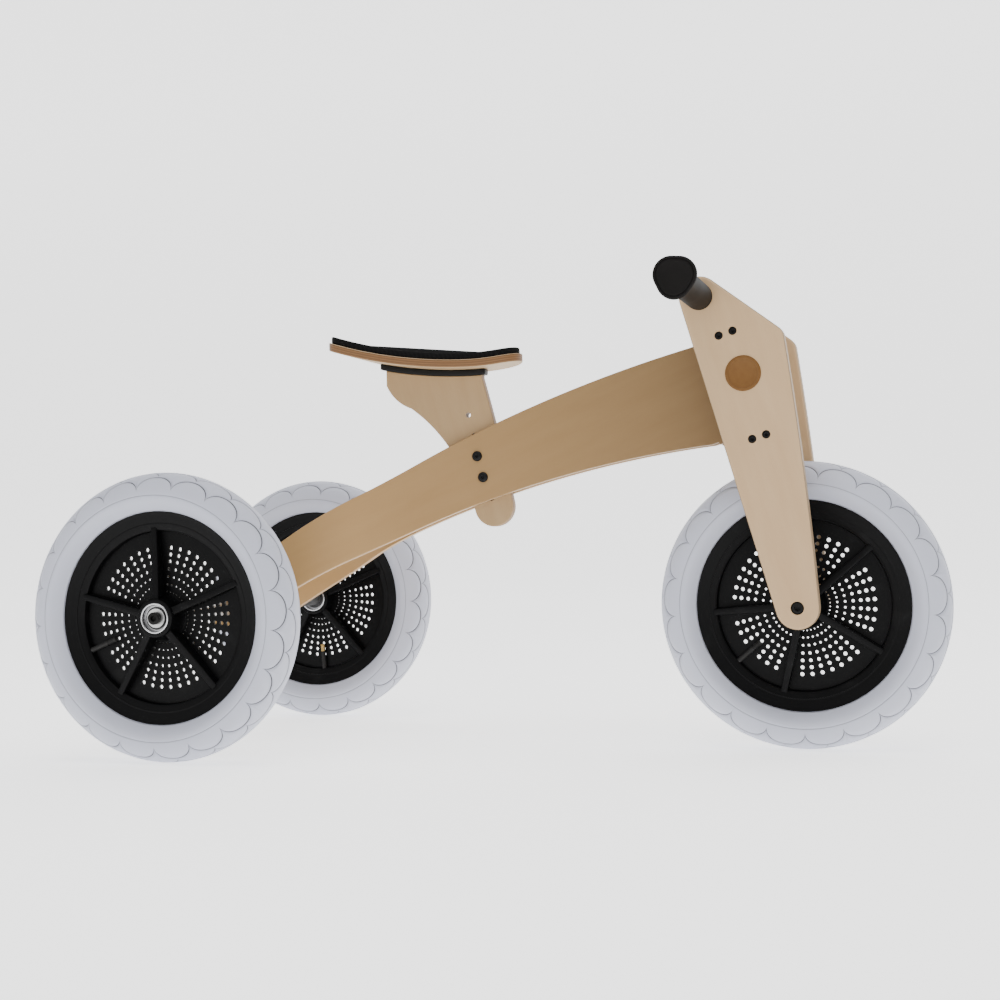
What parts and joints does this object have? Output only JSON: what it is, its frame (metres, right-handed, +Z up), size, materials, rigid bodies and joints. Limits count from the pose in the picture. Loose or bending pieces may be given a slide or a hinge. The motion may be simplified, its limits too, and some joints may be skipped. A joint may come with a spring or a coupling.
{
  "type": "child's balance tricycle",
  "caption": "Child's balance tricycle with a bent plywood frame, a steered plywood fork, a padded curved seat and black moulded wheels with pale pneumatic tyres.",
  "frame": {"origin": "on the ground, under the middle of the tricycle's box", "axes": "+X forward to the steered wheel, +Y to the rider's left, +Z up"},
  "size_m": [0.9489, 0.46, 0.4979],
  "materials": {
    "frame_plywood": "clear-lacquered birch and beech plywood, satin, plies showing on the edges",
    "fork_plywood": "clear-lacquered pale birch plywood, satin",
    "beech": "planed solid beech, oiled",
    "nylon": "natural nylon",
    "black_steel": "black zinc",
    "strip_plastic": "black moulded plastic",
    "zinc_steel": "zinc plated",
    "pad_fabric": "black woven cover over thin foam",
    "bar_paint": "dark brown-black powder coat",
    "grip_rubber": "moulded charcoal rubber",
    "badge_brown": "dark stained inlay",
    "tyre_rubber": "pale grey pneumatic tyre",
    "butyl": "butyl rubber",
    "wheel_plastic": "black moulded nylon, satin",
    "valve_rubber": "black rubber",
    "hub_metal": "turned aluminium",
    "bearing_steel": "ground steel with dark seals"
  },
  "bodies": {
    "frame": {"right_arm": "frame_plywood", "left_arm": "frame_plywood", "head_block": "beech", "steering_bushes": "nylon", "head_bolts": "black_steel", "head_nuts": "black_steel", "seat_post": "frame_plywood", "saddle_strip": "strip_plastic", "seat_board": "frame_plywood", "seat_pad": "pad_fabric", "saddle_screws": "zinc_steel", "seat_clamp_bolts": "black_steel", "seat_clamp_nuts": "black_steel", "rear_axle": "zinc_steel", "rear_axle_bolts": "black_steel", "rear_axle_spacers": "zinc_steel", "rear_axle_washers": "zinc_steel"},
    "fork": {"right_fork_plate": "fork_plywood", "left_fork_plate": "fork_plywood", "upper_cross_board": "fork_plywood", "lower_cross_board": "fork_plywood", "fork_bolts": "black_steel", "fork_barrel_nuts": "zinc_steel", "handlebar": "bar_paint", "right_grip": "grip_rubber", "left_grip": "grip_rubber", "fork_badges": "badge_brown", "steering_bolt": "black_steel", "steering_nut": "black_steel", "steering_washers": "zinc_steel", "front_axle": "zinc_steel", "front_axle_bolts": "black_steel", "front_axle_spacers": "zinc_steel"},
    "front_wheel": {"front_tyre": "tyre_rubber", "front_inner_tube": "butyl", "front_wheel_moulding": "wheel_plastic", "front_valve": "valve_rubber", "front_hub_sleeve": "hub_metal", "front_bearings": "bearing_steel"},
    "rear_right_wheel": {"rear_right_tyre": "tyre_rubber", "rear_right_inner_tube": "butyl", "rear_right_wheel_moulding": "wheel_plastic", "rear_right_valve": "valve_rubber", "rear_right_hub_sleeve": "hub_metal", "rear_right_bearings": "bearing_steel"},
    "rear_left_wheel": {"rear_left_tyre": "tyre_rubber", "rear_left_inner_tube": "butyl", "rear_left_wheel_moulding": "wheel_plastic", "rear_left_valve": "valve_rubber", "rear_left_hub_sleeve": "hub_metal", "rear_left_bearings": "bearing_steel"}
  },
  "joints": [
    {"name": "steering", "type": "hinge", "parent": "frame", "child": "fork", "pos_m": [0.27095, 0, 0.38285], "axis": [-0.2857, 0, 0.9583], "range_deg": [-30, 30]},
    {"name": "front_wheel_roll", "type": "hinge", "parent": "fork", "child": "front_wheel", "pos_m": [0.322, 0, 0.1525], "axis": [0, 1, 0], "continuous": true},
    {"name": "rear_right_wheel_roll", "type": "hinge", "parent": "frame", "child": "rear_right_wheel", "pos_m": [-0.322, -0.204, 0.1525], "axis": [0, 1, 0], "continuous": true},
    {"name": "rear_left_wheel_roll", "type": "hinge", "parent": "frame", "child": "rear_left_wheel", "pos_m": [-0.322, 0.204, 0.1525], "axis": [0, 1, 0], "continuous": true}
  ]
}
